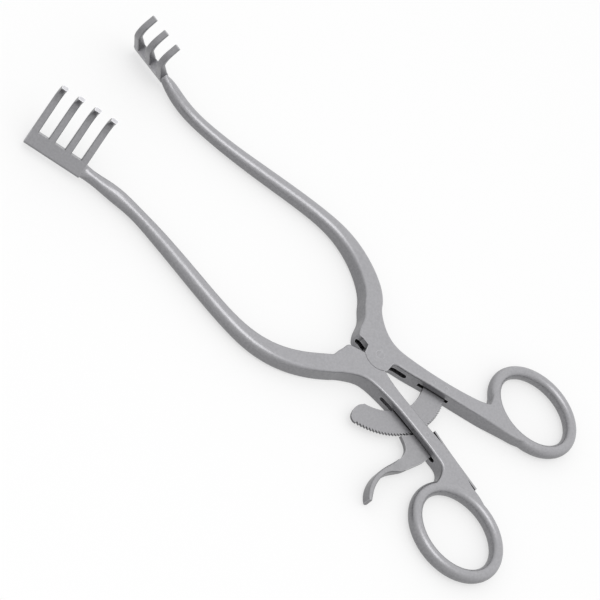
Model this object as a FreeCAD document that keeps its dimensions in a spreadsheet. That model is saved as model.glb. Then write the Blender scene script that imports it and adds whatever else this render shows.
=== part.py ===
import FreeCAD, Part
import math
import os

# Self retaining retractor: two ring-handled halves crossing at a box joint, a four-prong
# comb and a three-prong comb at the arm ends, and a ratchet with a thumb release.
# The pivot axis is the Z axis, the flat underside lies at Z = 0 and the combs lie towards +Y.

SIZES = [
    ("forging_thickness", 6.6, "flat to flat, at the joint"),
    ("edge_round", 0.8, "rounding along the edges of the forgings"),
    ("web_thickness", 5.1, "where the shank runs into the finger ring"),
    ("taper_turn", 60.0, "degrees from the -Y axis, outward, to the direction in which a shank thins"),
    ("taper_start", 31.0, "distance from the pivot, in that direction, at which it begins to thin"),
    ("taper_length", 10.0, "distance over which it thins"),
    ("cheek_radius", 6.0, "round cheeks of the box joint"),
    ("cheek_clearance", 0.05, "between the cheeks and the shoulders round them"),
    ("tongue_radius", 5.3, "disc of the tongue between the cheeks"),
    ("tongue_thickness", 1.9, "tongue between the cheeks"),
    ("tongue_slot_height", 2.0, "saw cut that takes the tongue"),
    ("tongue_slot_depth", 5.8, "from the pivot to the back of the saw cut"),
    ("tongue_slot_top", 9.5, "arm end of the saw cut"),
    ("tongue_slot_bottom", 12.3, "handle end of the saw cut"),
    ("pivot_radius", 1.5, "rivet of the box joint"),
    ("running_clearance", 0.05, "round a pin or rivet that turns"),
    ("seat_clearance", 0.01, "round a pin or rivet that is fixed"),
    ("rack_thickness", 1.4, "ratchet rack"),
    ("rack_inner_radius", 19.7, "inner edge of the rack"),
    ("rack_outer_radius", 28.6, "tips of the teeth"),
    ("tooth_depth", 0.8, "teeth of the rack"),
    ("tooth_pitch", 2.5, "degrees from tooth to tooth"),
    ("tooth_count", 35, "teeth on the rack"),
    ("tooth_first", 195.0, "angle of the first tooth, counted from +X"),
    ("rack_slot_height", 1.5, "slot that holds the rack"),
    ("rack_rivet_radius", 0.75, "rivets that hold the rack"),
    ("lever_slot_height", 1.7, "slot for the rack and the release lever"),
    ("lever_slot_top", 9.0, "joint end of that slot, from the pivot"),
    ("lever_slot_room", 7.6, "from the lever's pin to the ring end of that slot"),
    ("lever_thickness", 1.5, "plate of the release lever"),
    ("lever_pin_radius", 0.8, "pin of the release lever"),
    ("lever_pin_gap", 2.94, "from the tips of the teeth to the middle of the lever's pin"),
    ("lever_pin_angle", -113.15, "direction of the lever's pin, counted from +X"),
    ("lever_pin_x", "=(rack_outer_radius + lever_pin_gap) * cos(lever_pin_angle * 1deg)", "pin of the lever"),
    ("lever_pin_y", "=(rack_outer_radius + lever_pin_gap) * sin(lever_pin_angle * 1deg)", "pin of the lever"),
    ("lever_slot_bottom", "=lever_slot_room - lever_pin_y", "ring end of the slot, from the pivot"),
    ("spring_width", 4.8, "leaf spring"),
    ("spring_thickness", 0.8, "leaf spring at its foot"),
    ("spring_tip_thickness", 0.6, "leaf spring at its free end"),
    ("spring_seat_x", -14.55, "screw of the leaf spring, on its seat"),
    ("spring_seat_y", -51.1, "screw of the leaf spring, on its seat"),
    ("spring_turn", -105.2, "direction of the leaf spring, from its free end to its foot"),
    ("spring_foot", 2.3, "from the screw to the foot end"),
    ("spring_reach", 21.6, "from the screw to the free end"),
    ("spring_flat", 16.0, "from the screw to the end of its flat seat on the shank"),
    ("screw_radius", 0.8, "thread of the spring screw"),
    ("screw_head_radius", 1.5, "head of the spring screw"),
    ("screw_head_height", 0.8, "domed head of the spring screw"),
    ("screw_length", 4.0, "thread below the spring"),
    ("screw_slot_width", 0.4, "driver slot"),
    ("screw_slot_depth", 0.35, "driver slot"),
    ("arm_root_width", 7.0, "arm where it leaves the joint"),
    ("ring_long_radius", 16.56, "centre line of the finger ring, along the handle"),
    ("ring_short_radius", 14.47, "centre line of the finger ring, across the handle"),
    ("ring_turn", 3.6, "degrees that the long axis of a ring turns outward"),
    ("ring_centre_x", 32.9, "centre of a finger ring"),
    ("ring_centre_y", 56.0, "centre of a finger ring, from the pivot"),
    ("ring_wire_width", 4.5, "section of the finger ring"),
    ("ring_wire_height", 5.4, "section of the finger ring"),
    ("neck_length", 3.2, "from the comb back to the arm's last round section"),
    ("neck_width", 4.2, "last round section of an arm"),
    ("neck_height", 4.4, "last round section of an arm"),
    ("neck_corner", 2.0, "rounding of that section"),
    ("comb_flare", 12.9, "degrees that a comb's row turns outward"),
    ("comb_lean", 39.0, "degrees that a comb leans inward"),
    ("comb_drop", 0.4, "outer lower edge of the comb, below the middle of the forging"),
    ("comb_thickness", 3.4, "plate of the comb"),
    ("comb_height", 5.4, "plate of the comb, along its lean"),
    ("prong_pitch", 6.25, "prong to prong"),
    ("prong_width", 2.4, "prong at its root"),
    ("prong_tip_width", 2.3, "prong at its tip"),
    ("prong_tip_thickness", 1.3, "prong at its tip"),
    ("prong_straight", 16.4, "from the comb's lower edge to the bend"),
    ("prong_bend_radius", 5.4, "outer face of the bend"),
    ("prong_bend_angle", 71.0, "degrees that the prong bends outward"),
    ("prong_tip_length", 3.3, "straight end of the prong"),
    ("prong_corner", 0.45, "rounding along a prong"),
]

# Plan of the four-prong half, pivot at the origin: its smooth edges, then its stepped shoulder.
# The points at the arm's root are added to the outer edge and to the crotch.
FOUR_PRONG_OUTER = [(-28.0, -40.5), (-23.5, -40.8), (-19.9, -40.5), (-17.7, -39.1), (-16.7, -36.4),
                    (-15.9, -33.4), (-13.9, -24.6), (-11.8, -12.1), (-11.5, -6.0), (-12.1, -1.0),
                    (-15.0, 3.7)]
FOUR_PRONG_INNER = [(-22.0, -64.5), (-18.6, -60.8), (-16.1, -56.2), (-14.9, -52.0), (-14.0, -49.4), (-11.6, -40.6), (-9.75, -32.3), (-9.0, -27.2),
                    (-7.4, -18.3), (-6.0, -11.6), (-4.2, -6.1)]
FOUR_PRONG_SHOULDER = [(-4.2, -6.1), (-3.4, -4.3), (-3.4, 4.2), (-5.3, 9.5)]
FOUR_PRONG_CROTCH = [(-5.3, 9.5), (-6.5, 10.9), (-8.5, 11.35), (-11.2, 12.1)]

# Plan of the three-prong half.
THREE_PRONG_OUTER = [(28.0, -40.2), (24.0, -40.6), (21.2, -41.4), (19.6, -41.2), (18.2, -39.8),
                     (16.8, -37.6), (15.5, -34.6), (10.3, -17.0), (8.7, -8.7), (8.3, -4.4), (8.8, -1.0), (10.0, 1.8),
                     (12.0, 4.6)]
THREE_PRONG_INNER = [(0.4, -5.4), (1.6, -6.3), (2.5, -8.8), (3.4, -12.3), (5.3, -18.4), (7.5, -26.6),
                     (10.6, -38.2), (13.5, -48.4), (14.7, -52.4), (16.1, -56.6), (18.6, -60.8), (22.0, -64.5)]
THREE_PRONG_ARM_NOTCH = [(1.2, 10.2), (0.5, 9.4), (0.4, 7.9)]
THREE_PRONG_CROTCH = [(1.2, 10.2), (4.1, 11.2), (8.6, 12.1)]

# Arm root: centre and direction (degrees from the X axis, outward) for each half.
ARM_ROOT = {"four": ((17.0, 10.8), 40.0), "three": ((15.9, 12.2), 28.0)}

# Sections along an arm, mirrored for the four-prong half:
# centre x, centre y, width, height, corner radius.
ARM_SECTIONS = [
    (23.3, 17.5, 6.9, 6.6, 1.1),
    (28.0, 24.2, 6.7, 6.5, 1.7),
    (32.0, 35.6, 6.3, 6.2, 2.4),
    (32.1, 47.3, 5.9, 5.9, 2.75),
    (30.4, 59.1, 5.8, 5.8, 2.8),
    (28.3, 70.9, 5.6, 5.6, 2.7),
    (26.4, 82.7, 5.2, 5.2, 2.5),
    (25.3, 94.4, 4.9, 4.9, 2.35),
    (26.0, 105.8, 4.85, 4.85, 2.3),
]

# Outer lower corner of the first prong of each comb.
COMB_START = {"four": (30.8, 113.7), "three": (32.2, 116.9)}
PRONGS = {"four": 4, "three": 3}
SIDE = {"four": -1.0, "three": 1.0}

# Plate of the release lever in plan, in order and counted from its pin: (shape, points).
LEVER_PLATE = [
    ("arc", [(-0.2, 2.65), (-3.1, 4.25), (-5.95, 6.75)]),
    ("curve", [(-5.95, 6.75), (-6.9, 5.1), (-8.9, 2.9), (-11.5, 2.2), (-14.6, 2.9)]),
    ("line", [(-14.6, 2.9), (-16.2, -1.1)]),
    ("line", [(-16.2, -1.1), (-7.9, -4.7)]),
    ("curve", [(-7.9, -4.7), (-4.0, -5.6), (0.1, -6.4)]),
    ("arc", [(0.1, -6.4), (2.3, -5.9), (2.9, -4.4)]),
    ("line", [(2.9, -4.4), (2.1, -1.2)]),
    ("arc", [(2.1, -1.2), (2.1, 1.4), (-0.2, 2.65)]),
]

# Thumb tab of the release lever, also from its pin: centre x, centre y, plan width, height, corner.
LEVER_TAB = [
    (-15.4, 0.9, 4.31, 1.5, 0.3),
    (-18.2, 2.1, 3.6, 2.6, 0.6),
    (-21.2, 3.7, 2.5, 4.2, 0.8),
    (-24.6, 4.9, 2.0, 4.9, 0.8),
    (-29.1, 5.4, 1.9, 5.0, 0.8),
    (-34.1, 4.4, 1.8, 4.9, 0.8),
    (-36.8, 3.0, 1.2, 4.2, 0.5),
]

RACK_RIVETS = {"rack_rivet_upper": (7.7, -20.3), "rack_rivet_lower": (9.5, -25.4)}


def vec(x, y, z=0.0):
    """Return a FreeCAD vector."""
    return FreeCAD.Vector(x, y, z)


def make_sheet(doc):
    """Write the driving dimensions into a spreadsheet, each with its alias."""
    sheet = doc.addObject("Spreadsheet::Sheet", "sizes")
    for row, (alias, value, note) in enumerate(SIZES, start=1):
        sheet.set("A%d" % row, alias)
        sheet.set("B%d" % row, str(value))
        sheet.set("C%d" % row, note)
        sheet.setAlias("B%d" % row, alias)
    doc.recompute()
    return sheet


def size(doc, alias):
    """Return one driving dimension from the spreadsheet."""
    return float(doc.sizes.get(alias))


def bind(obj, expressions):
    """Bind properties of an object to the spreadsheet."""
    for name, expression in expressions.items():
        obj.setExpression(name, expression)


def flat_edge(shape, points):
    """Return a plan edge: a line through two points, an arc through three, or a smooth curve."""
    places = [vec(*point) for point in points]
    if shape == "line":
        return Part.LineSegment(places[0], places[1]).toShape()
    if shape == "arc":
        return Part.Arc(places[0], places[1], places[2]).toShape()
    curve = Part.BSplineCurve()
    curve.interpolate(places)
    return curve.toShape()


def chain(points):
    """Return the straight plan edges that join the points."""
    return [flat_edge("line", pair) for pair in zip(points[:-1], points[1:])]


def arm_root(doc, half):
    """Return the outer point, the inner point and the direction of an arm's root in plan."""
    (x, y), angle = ARM_ROOT[half]
    turn = math.radians(angle)
    reach = size(doc, "arm_root_width") / 2
    across = vec(-math.sin(turn) * SIDE[half], math.cos(turn))
    centre = vec(x * SIDE[half], y)
    along = vec(math.cos(turn) * SIDE[half], math.sin(turn))
    return centre - across * reach, centre + across * reach, along


def root_points(doc, half):
    """Return the last two plan points of the outer and of the inner edge at an arm's root."""
    outer, inner, along = arm_root(doc, half)
    lead = 1.2
    return [[(place.x, place.y) for place in (end - along * lead, end)] for end in (outer, inner)]


def four_prong_plan(doc):
    """Return the plan of the four-prong half: edges to be rounded, then edges left sharp."""
    outer, inner = root_points(doc, "four")
    rounded = [
        flat_edge("curve", FOUR_PRONG_OUTER + outer),
        flat_edge("curve", FOUR_PRONG_INNER),
        flat_edge("curve", FOUR_PRONG_CROTCH + inner),
    ]
    into_ring = [FOUR_PRONG_OUTER[0], (-31.0, -50.0), FOUR_PRONG_INNER[0]]
    sharp = chain(into_ring) + chain(FOUR_PRONG_SHOULDER) + chain([inner[-1], outer[-1]])
    return rounded, sharp


def three_prong_plan(doc):
    """Return the plan of the three-prong half: edges to be rounded, then edges left sharp."""
    outer, inner = root_points(doc, "three")
    rounded = [
        flat_edge("curve", THREE_PRONG_OUTER + outer),
        flat_edge("curve", THREE_PRONG_INNER),
        flat_edge("curve", THREE_PRONG_CROTCH + inner),
    ]
    radius = size(doc, "cheek_radius")
    upper = (radius * math.cos(math.radians(127.5)), radius * math.sin(math.radians(127.5)))
    lower = (radius * math.cos(math.radians(-119.0)), radius * math.sin(math.radians(-119.0)))
    sharp = chain([THREE_PRONG_INNER[-1], (31.0, -50.0), THREE_PRONG_OUTER[0]])
    sharp += [
        flat_edge("arc", [upper, (-radius, 0.0), lower]),
        flat_edge("line", [lower, THREE_PRONG_INNER[0]]),
        flat_edge("arc", THREE_PRONG_ARM_NOTCH),
    ]
    sharp += chain([THREE_PRONG_ARM_NOTCH[-1], (-0.3, 5.3), upper])
    sharp += chain([outer[-1], inner[-1]])
    return rounded, sharp


def side_profile(doc, half):
    """Return the block that thins a half's shank towards its ring."""
    middle = size(doc, "forging_thickness") / 2
    thin = size(doc, "web_thickness") / 2
    start = -size(doc, "taper_start")
    end = start - size(doc, "taper_length")
    near, far, wide = 60.0, -70.0, 60.0

    def blend(sign):
        """Return the smooth step from full thickness to the web, above or below the middle."""
        curve = Part.BSplineCurve()
        places = [vec(-wide, start, middle + sign * middle), vec(-wide, end, middle + sign * thin)]
        curve.interpolate(Points=places, InitialTangent=vec(0, -1, 0), FinalTangent=vec(0, -1, 0))
        return curve.toShape()

    top, bottom = blend(1.0), blend(-1.0)
    high, low = 2 * middle, 0.0
    edges = [
        Part.LineSegment(vec(-wide, near, high), vec(-wide, start, high)).toShape(),
        top,
        Part.LineSegment(vec(-wide, end, middle + thin), vec(-wide, far, middle + thin)).toShape(),
        Part.LineSegment(vec(-wide, far, middle + thin), vec(-wide, far, middle - thin)).toShape(),
        Part.LineSegment(vec(-wide, far, middle - thin), vec(-wide, end, middle - thin)).toShape(),
        bottom,
        Part.LineSegment(vec(-wide, start, low), vec(-wide, near, low)).toShape(),
        Part.LineSegment(vec(-wide, near, low), vec(-wide, near, high)).toShape(),
    ]
    wire = Part.Wire(Part.__sortEdges__(edges))
    block = Part.Face(wire).extrude(vec(2 * wide, 0, 0))
    block.rotate(vec(0, 0), vec(0, 0, 1), SIDE[half] * size(doc, "taper_turn"))
    return block


def ring_path(doc, half):
    """Return the centre line of a finger ring."""
    centre = vec(SIDE[half] * size(doc, "ring_centre_x"), -size(doc, "ring_centre_y"),
                 size(doc, "forging_thickness") / 2)
    turn = math.radians(SIDE[half] * size(doc, "ring_turn"))
    long_axis = vec(math.sin(turn), -math.cos(turn))
    short_axis = vec(math.cos(turn), math.sin(turn))
    long_radius = size(doc, "ring_long_radius")
    short_radius = size(doc, "ring_short_radius")
    return Part.Ellipse(centre + long_axis * long_radius, centre + short_axis * short_radius, centre)


def arcs(ellipse, count):
    """Return an ellipse as a number of joined arcs."""
    step = 2 * math.pi / count
    return [ellipse.toShape(step * index, step * (index + 1)) for index in range(count)]


def finger_ring(doc, half):
    """Return a finger ring: an oval wire of oval section."""
    path = ring_path(doc, half)
    start = path.value(0.0)
    tangent = path.tangent(0.0)[0]
    outward = tangent.cross(vec(0, 0, 1))
    wide = size(doc, "ring_wire_width") / 2
    tall = size(doc, "ring_wire_height") / 2
    section = Part.Ellipse(start + vec(0, 0, tall), start + outward * wide, start)
    return Part.Wire(arcs(path, 4)).makePipeShell([Part.Wire(arcs(section, 2))], True, False)


def on_plan(edge, plan_edges):
    """Say whether a solid's edge runs above or below one of the plan edges."""
    first, last = edge.FirstParameter, edge.LastParameter
    places = [edge.valueAt(first + (last - first) * share) for share in (0.2, 0.5, 0.8)]
    if (places[0] - places[2]).x == 0 and (places[0] - places[2]).y == 0:
        return False
    for plan_edge in plan_edges:
        gaps = [plan_edge.distToShape(Part.Vertex(vec(place.x, place.y)))[0] for place in places]
        if max(gaps) < 1e-4:
            return True
    return False


def forged_body(doc, half, plan):
    """Return the joint, shank and arm root of one half, with rounded edges."""
    rounded, sharp = plan
    wire = Part.Wire(Part.__sortEdges__(rounded + sharp))
    block = Part.Face(wire).extrude(vec(0, 0, size(doc, "forging_thickness")))
    block = block.common(side_profile(doc, half))
    hole = Part.Face(Part.Wire(ring_path(doc, half).toShape()))
    hole.translate(vec(0, 0, -20))
    block = block.cut(hole.extrude(vec(0, 0, 40)))
    edges = [edge for edge in block.Edges if on_plan(edge, rounded)]
    return block.makeFillet(size(doc, "edge_round"), edges)


def section_wire(centre, across, up, width, height, corner):
    """Return a rounded rectangle about a centre, in the plane of two unit vectors."""
    half_width, half_height = width / 2, height / 2
    flat_width, flat_height = half_width - corner, half_height - corner
    bend = corner * math.sqrt(0.5)

    def place(a, b):
        """Return the point at a across and b up."""
        return centre + across * a + up * b

    edges = []
    corners = [(1, 1), (-1, 1), (-1, -1), (1, -1)]
    for index, (a, b) in enumerate(corners):
        side_point = place(a * half_width, b * flat_height)
        end_point = place(a * flat_width, b * half_height)
        middle = place(a * (flat_width + bend), b * (flat_height + bend))
        first, last = (side_point, end_point) if index % 2 == 0 else (end_point, side_point)
        edges.append(Part.Arc(first, middle, last).toShape())
        c, d = corners[(index + 1) % 4]
        if index % 2 == 0:
            following = place(c * flat_width, d * half_height)
        else:
            following = place(c * half_width, d * flat_height)
        edges.append(Part.LineSegment(last, following).toShape())
    return Part.Wire(edges)


def comb_frame(doc, half):
    """Return a comb's corner, its row, inward, lean and thickness directions."""
    flare = math.radians(size(doc, "comb_flare"))
    row = vec(SIDE[half] * math.sin(flare), math.cos(flare))
    inward = vec(-SIDE[half] * math.cos(flare), math.sin(flare))
    x, y = COMB_START[half]
    level = size(doc, "forging_thickness") / 2 - size(doc, "comb_drop")
    corner = vec(SIDE[half] * x, y, level)
    lean = math.radians(size(doc, "comb_lean"))
    along = inward * math.sin(lean) + vec(0, 0, math.cos(lean))
    through = inward * math.cos(lean) - vec(0, 0, math.sin(lean))
    return corner, row, inward, along, through


def root_face(doc, half, body):
    """Return the flat end of a half's joint block from which its arm grows."""
    outer, inner, _ = arm_root(doc, half)
    middle = (outer + inner) * 0.5 + vec(0, 0, size(doc, "forging_thickness") / 2)
    return min(body.Faces, key=lambda face: face.CenterOfMass.distanceToPoint(middle))


def arm(doc, half, root_wire):
    """Return an arm: flat-sided at the joint, round along its length, ending at its comb."""
    side = SIDE[half]
    middle = size(doc, "forging_thickness") / 2
    up = vec(0, 0, 1)
    outer, inner, root_direction = arm_root(doc, half)
    root = (outer + inner) * 0.5
    corner, row, inward, along, through = comb_frame(doc, half)
    tall, thick = size(doc, "comb_height"), size(doc, "comb_thickness")
    end = corner + along * (tall / 2) + through * (thick / 2)
    neck = end - row * size(doc, "neck_length")

    places = [vec(root.x, root.y)]
    places += [vec(side * x, y) for x, y, _, _, _ in ARM_SECTIONS]
    places += [vec(neck.x, neck.y), vec(end.x, end.y)]
    path = Part.BSplineCurve()
    path.interpolate(Points=places, InitialTangent=root_direction, FinalTangent=row)

    def across(place):
        """Return the horizontal direction square to the arm, inward."""
        tangent = path.tangent(path.parameter(place))[0]
        return vec(-tangent.y, tangent.x) * side

    wires = [root_wire]
    for (x, y, width, height, round_off), place in zip(ARM_SECTIONS, places[1:]):
        wires.append(section_wire(vec(place.x, place.y, middle), across(place), up,
                                  width, height, round_off))
    neck_up = (up + along).normalize()
    neck_through = (inward + through).normalize()
    neck_centre = vec(neck.x, neck.y, (middle + end.z) / 2)
    wires.append(section_wire(neck_centre, neck_through, neck_up,
                              size(doc, "neck_width"), size(doc, "neck_height"), size(doc, "neck_corner")))
    wires.append(section_wire(end, through, along, thick - 0.3, tall - 0.4, 0.8))
    return Part.makeLoft(wires, True, False)


def prong(doc, half, offset):
    """Return one prong, from the top of the comb's plate to its tip."""
    corner, row, inward, _, _ = comb_frame(doc, half)
    lean = math.radians(size(doc, "comb_lean"))
    bend = math.radians(size(doc, "prong_bend_angle"))
    radius = size(doc, "prong_bend_radius")
    root, straight = size(doc, "comb_height"), size(doc, "prong_straight")
    tip_length = size(doc, "prong_tip_length")
    length = straight + radius * bend + tip_length
    thick, thin = size(doc, "comb_thickness"), size(doc, "prong_tip_thickness")
    wide, narrow = size(doc, "prong_width"), size(doc, "prong_tip_width")
    start = corner + row * (offset + wide / 2)

    def station(distance):
        """Return the section of the prong at a distance along its outer face."""
        turned = min(max((distance - straight) / radius, 0.0), bend)
        beyond = max(distance - straight - radius * bend, 0.0)
        run = min(distance, straight)
        level = run * math.cos(lean) + radius * (math.sin(lean) - math.sin(lean - turned))
        reach = run * math.sin(lean) + radius * (math.cos(lean - turned) - math.cos(lean))
        angle = lean - turned
        level += beyond * math.cos(angle)
        reach += beyond * math.sin(angle)
        share = (distance - root) / (length - root)
        depth = thick + (thin - thick) * share
        along = inward * math.sin(angle) + vec(0, 0, math.cos(angle))
        through = inward * math.cos(angle) - vec(0, 0, math.sin(angle))
        centre = start + inward * reach + vec(0, 0, level) + through * (depth / 2)
        return section_wire(centre, row, through, wide + (narrow - wide) * share, depth,
                            size(doc, "prong_corner"))

    steps = 13
    stops = [root + (length - root) * step / steps for step in range(steps + 1)]
    return Part.makeLoft([station(stop) for stop in stops], True, False)


def comb(doc, half):
    """Return a comb: a leaning plate with its row of prongs."""
    corner, row, _, along, through = comb_frame(doc, half)
    tall, thick = size(doc, "comb_height"), size(doc, "comb_thickness")
    pitch = size(doc, "prong_pitch")
    length = pitch * (PRONGS[half] - 1) + size(doc, "prong_width")
    places = [corner, corner + along * tall, corner + along * tall + through * thick, corner + through * thick]
    plate = Part.Face(Part.makePolygon(places + places[:1])).extrude(row * length)
    lower = [edge for edge in plate.Edges if abs(edge.Length - length) < 1e-6
             and abs((edge.CenterOfMass - corner).dot(along)) < 1e-6]
    plate = plate.makeFillet(size(doc, "edge_round"), lower)
    prongs = [prong(doc, half, pitch * step) for step in range(PRONGS[half])]
    return plate.multiFuse(prongs)


def forging(doc, half, plan):
    """Return one complete half as forged, before its slots and bores."""
    body = forged_body(doc, half, plan)
    limb = arm(doc, half, root_face(doc, half, body).OuterWire)
    return body.multiFuse([limb, comb(doc, half), finger_ring(doc, half)]).removeSplitter()


def add_cylinder(doc, name, radius, height, x="0", y="0", z="0"):
    """Add an upright cylinder whose sizes are spreadsheet expressions."""
    cylinder = doc.addObject("Part::Cylinder", name)
    bind(cylinder, {"Radius": radius, "Height": height, "Placement.Base.x": x,
                    "Placement.Base.y": y, "Placement.Base.z": z})
    return cylinder


def add_slot(doc, name, left, right, bottom, top, height):
    """Add a slot cutter that runs along X, level with the middle, with rounded ends."""
    middle = "sizes.forging_thickness / 2"
    box = doc.addObject("Part::Box", name + "_run")
    bind(box, {"Length": "(%s) - (%s)" % (right, left), "Height": height,
               "Width": "(%s) - (%s) - %s" % (top, bottom, height),
               "Placement.Base.x": left, "Placement.Base.y": "%s + %s / 2" % (bottom, height),
               "Placement.Base.z": "%s - %s / 2" % (middle, height)})
    ends = []
    for end, y in (("top", "%s - %s / 2" % (top, height)), ("bottom", "%s + %s / 2" % (bottom, height))):
        cylinder = doc.addObject("Part::Cylinder", "%s_%s" % (name, end))
        cylinder.Placement = FreeCAD.Placement(vec(0, 0, 0), FreeCAD.Rotation(vec(0, 1, 0), 90))
        bind(cylinder, {"Radius": "%s / 2" % height, "Height": "(%s) - (%s)" % (right, left),
                        "Placement.Base.x": left, "Placement.Base.y": y, "Placement.Base.z": middle})
        ends.append(cylinder)
    slot = doc.addObject("Part::MultiFuse", name)
    slot.Shapes = [box] + ends
    return slot


def add_turned_box(doc, name, x, y, turn, sizes):
    """Add a box turned about Z, with its length and width centred on a point."""
    length, width, height, base = sizes
    box = doc.addObject("Part::Box", name)
    bind(box, {"Length": length, "Width": width, "Height": height})
    doc.recompute()
    rotation = FreeCAD.Rotation(vec(0, 0, 1), turn)
    shift = rotation.multVec(vec(-box.Length.Value / 2, -box.Width.Value / 2))
    box.Placement = FreeCAD.Placement(vec(x + shift.x, y + shift.y, base), rotation)
    return box


def add_cut(doc, name, base, tools):
    """Cut the tools from a base and name the result."""
    joined = doc.addObject("Part::MultiFuse", name + "_cutters")
    joined.Shapes = tools
    cut = doc.addObject("Part::Cut", name)
    cut.Base = base
    cut.Tool = joined
    cut.Label = name
    return cut


def add_forging(doc, name, half, plan):
    """Add a forging as a shape of its own."""
    blank = doc.addObject("Part::Feature", name)
    blank.Shape = forging(doc, half, plan)
    return blank


def make_four_prong_half(doc):
    """Make the half with four prongs: tongue, lever slot, spring seat and bores."""
    middle = "sizes.forging_thickness / 2"
    blank = add_forging(doc, "four_prong_forging", "four", four_prong_plan(doc))
    radius = "sizes.cheek_radius + sizes.cheek_clearance"
    relief_height = "(sizes.forging_thickness - sizes.tongue_thickness) / 2 + 1"
    upper = add_cylinder(doc, "relief_upper", radius, relief_height,
                         z="%s + sizes.tongue_thickness / 2" % middle)
    lower = add_cylinder(doc, "relief_lower", radius, relief_height, z="-1")
    relieved = add_cut(doc, "four_prong_relieved", blank, [upper, lower])
    disc = add_cylinder(doc, "tongue_disc", "sizes.tongue_radius", "sizes.tongue_thickness",
                        z="%s - sizes.tongue_thickness / 2" % middle)
    tongued = doc.addObject("Part::Fuse", "four_prong_tongued")
    tongued.Base = relieved
    tongued.Tool = disc
    tongued.Refine = True
    bore = add_cylinder(doc, "tongue_bore", "sizes.pivot_radius + sizes.running_clearance",
                        "sizes.forging_thickness + 2", z="-1")
    slot = add_slot(doc, "lever_slot", "-24", "-2", "-sizes.lever_slot_bottom",
                    "-sizes.lever_slot_top", "sizes.lever_slot_height")
    pin = add_cylinder(doc, "lever_pin_bore", "sizes.lever_pin_radius + sizes.seat_clearance",
                       "sizes.forging_thickness + 2", "sizes.lever_pin_x", "sizes.lever_pin_y", "-1")
    seat = add_seat_cutter(doc)
    hole = doc.addObject("Part::Cylinder", "screw_bore")
    bind(hole, {"Radius": "sizes.screw_radius + sizes.seat_clearance",
                "Height": "sizes.screw_length + sizes.seat_clearance"})
    doc.recompute()
    outward = seat_outward(doc)
    hole.Placement = FreeCAD.Placement(seat_point(doc) - outward * hole.Height.Value,
                                       FreeCAD.Rotation(vec(0, 0, 1), outward))
    return add_cut(doc, "four_prong_half", tongued, [bore, slot, pin, seat, hole])


def seat_point(doc):
    """Return the point on the spring's seat below its screw."""
    return vec(size(doc, "spring_seat_x"), size(doc, "spring_seat_y"), size(doc, "forging_thickness") / 2)


def seat_outward(doc):
    """Return the direction in which the spring's seat faces."""
    turn = math.radians(size(doc, "spring_turn"))
    return vec(-math.sin(turn), math.cos(turn))


def add_seat_cutter(doc):
    """Add the cutter that flattens the shank below the foot of the leaf spring."""
    box = doc.addObject("Part::Box", "spring_seat_cutter")
    bind(box, {"Length": "sizes.spring_flat + sizes.spring_foot + 1", "Width": "3",
               "Height": "sizes.forging_thickness + 2"})
    rotation = FreeCAD.Rotation(vec(0, 0, 1), size(doc, "spring_turn"))
    shift = rotation.multVec(vec(-size(doc, "spring_flat"), 0.0))
    point = seat_point(doc)
    box.Placement = FreeCAD.Placement(vec(point.x + shift.x, point.y + shift.y, -1), rotation)
    return box


def make_three_prong_half(doc):
    """Make the half with three prongs: saw cut, rack slot and bores."""
    blank = add_forging(doc, "three_prong_forging", "three", three_prong_plan(doc))
    slot = add_slot(doc, "tongue_slot", "-10", "sizes.tongue_slot_depth", "-sizes.tongue_slot_bottom",
                    "sizes.tongue_slot_top", "sizes.tongue_slot_height")
    base = (size(doc, "forging_thickness") - size(doc, "rack_slot_height")) / 2
    rack_slot = add_turned_box(doc, "rack_slot", 7.27, -22.7, -75.3,
                               ("12.6", "6.8", "sizes.rack_slot_height", base))
    bore = add_cylinder(doc, "cheek_bore", "sizes.pivot_radius + sizes.seat_clearance",
                        "sizes.forging_thickness + 2", z="-1")
    bores = [bore]
    for name, (x, y) in RACK_RIVETS.items():
        bores.append(add_cylinder(doc, name + "_bore", "sizes.rack_rivet_radius + sizes.seat_clearance",
                                  "sizes.forging_thickness + 2", str(x), str(y), "-1"))
    return add_cut(doc, "three_prong_half", blank, [slot, rack_slot] + bores)


def make_pivot_rivet(doc):
    """Make the rivet of the box joint, flush with both cheeks."""
    return add_cylinder(doc, "pivot_rivet", "sizes.pivot_radius", "sizes.forging_thickness")


def make_rack_rivet(doc, name):
    """Make one of the flush rivets that hold the rack."""
    x, y = RACK_RIVETS[name]
    return add_cylinder(doc, name, "sizes.rack_rivet_radius", "sizes.forging_thickness", str(x), str(y))


def make_lever_pin(doc):
    """Make the flush pin on which the release lever turns."""
    return add_cylinder(doc, "lever_pin", "sizes.lever_pin_radius", "sizes.forging_thickness",
                        "sizes.lever_pin_x", "sizes.lever_pin_y")


def body_sketch(doc, body, name, plane):
    """Add a sketch to a body, attached to one of its own origin planes."""
    sketch = body.newObject("Sketcher::SketchObject", name)
    support = [item for item in body.Origin.OriginFeatures if item.Role == plane][0]
    sketch.AttachmentSupport = [(support, "")]
    sketch.MapMode = "FlatFace"
    return sketch


def polar(radius, angle):
    """Return the plan point at a radius and an angle in degrees."""
    return vec(radius * math.cos(math.radians(angle)), radius * math.sin(math.radians(angle)))


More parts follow.
